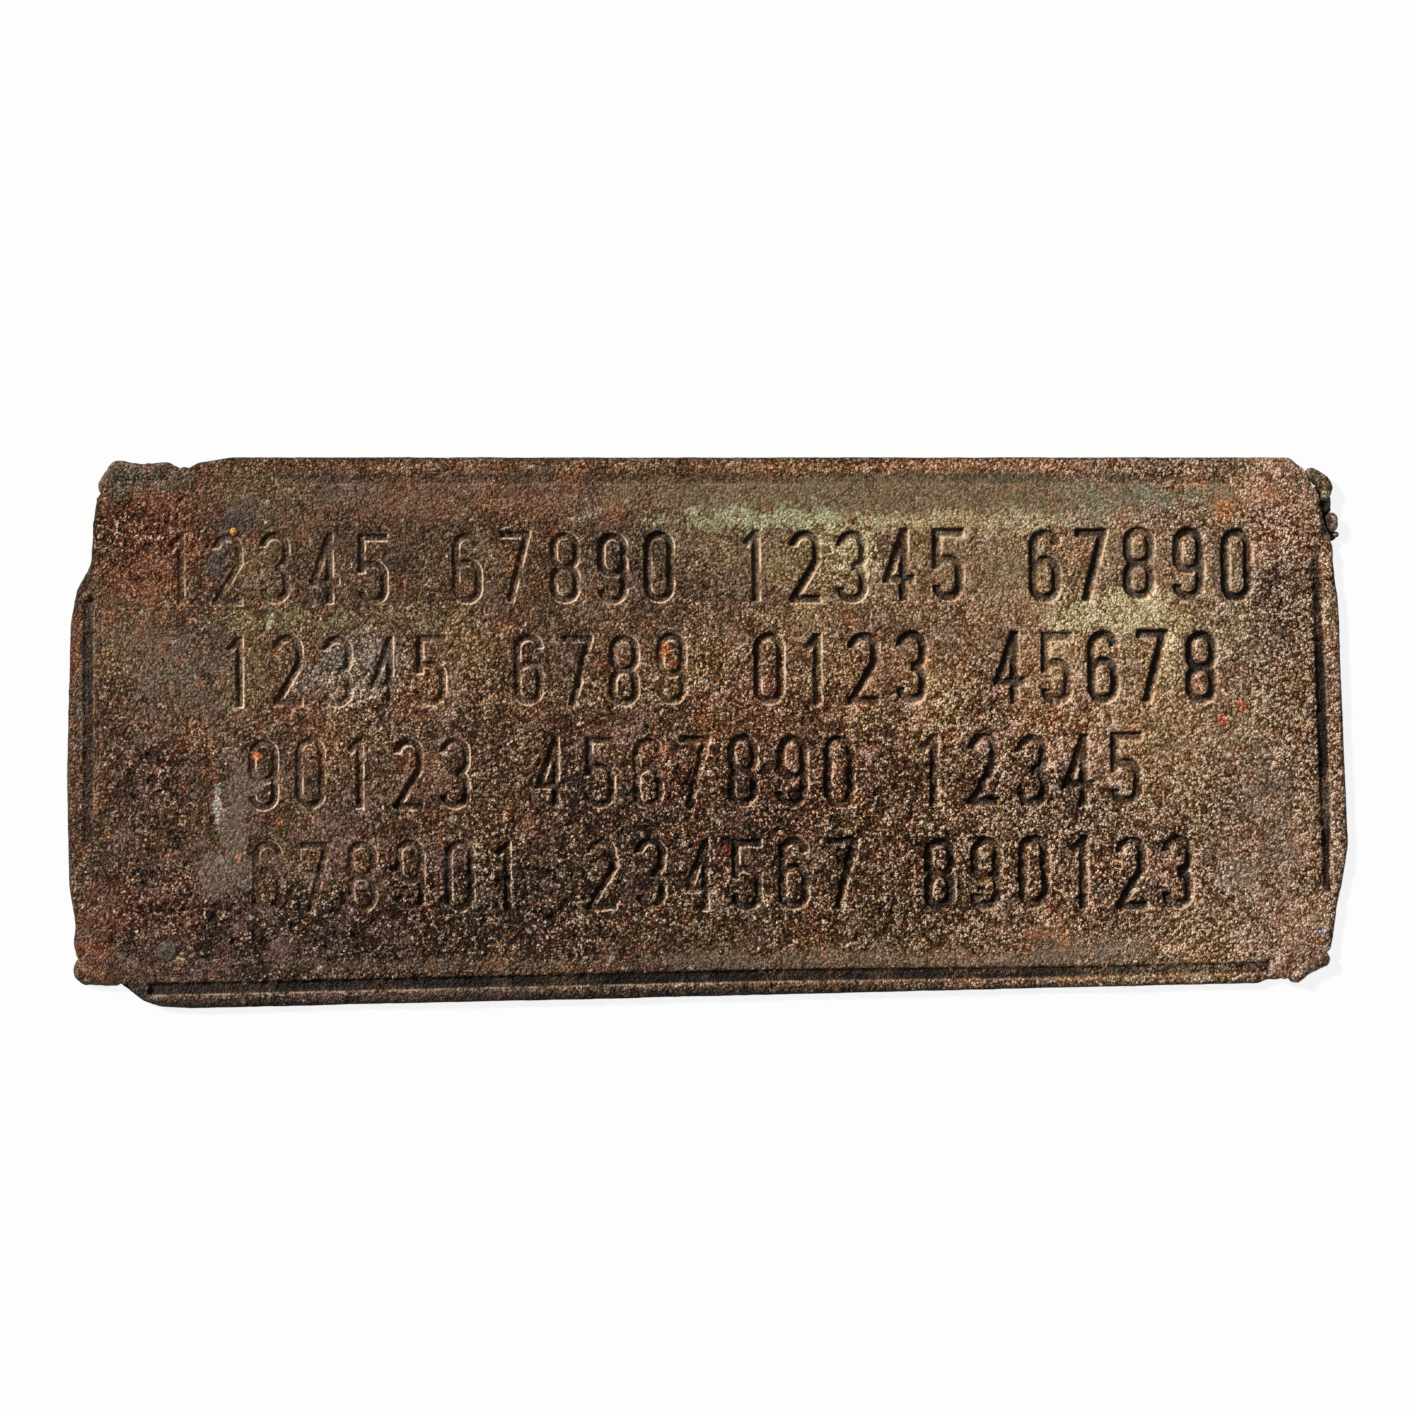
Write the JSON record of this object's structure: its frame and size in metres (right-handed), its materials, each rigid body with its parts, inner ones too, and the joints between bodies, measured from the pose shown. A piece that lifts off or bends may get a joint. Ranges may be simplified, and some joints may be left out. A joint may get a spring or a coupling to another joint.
{
  "type": "railroad trust plate",
  "caption": "Rusted struck steel plate with rows of sunken numerals, a sunken border line and torch-cut corners that still carry weld metal.",
  "frame": {"origin": "middle of the flat back, on the plane that the plate lies on", "axes": "+X along the plate as its rows are read, +Y towards its top edge, +Z out of the struck face"},
  "size_m": [0.452, 0.1946, 0.0045],
  "materials": {
    "rusted_steel": "heavily rusted and pitted brown steel with traces of old paint",
    "weld_metal": "rounded frozen weld metal, grey-brown with rust"
  },
  "bodies": {
    "root": {"plate": "rusted_steel", "weld_top_left": "weld_metal", "weld_top_right": "weld_metal", "weld_top_right_drop": "weld_metal", "weld_bottom_right": "weld_metal", "weld_bottom_left": "weld_metal", "weld_spatter": "weld_metal"}
  },
  "joints": []
}
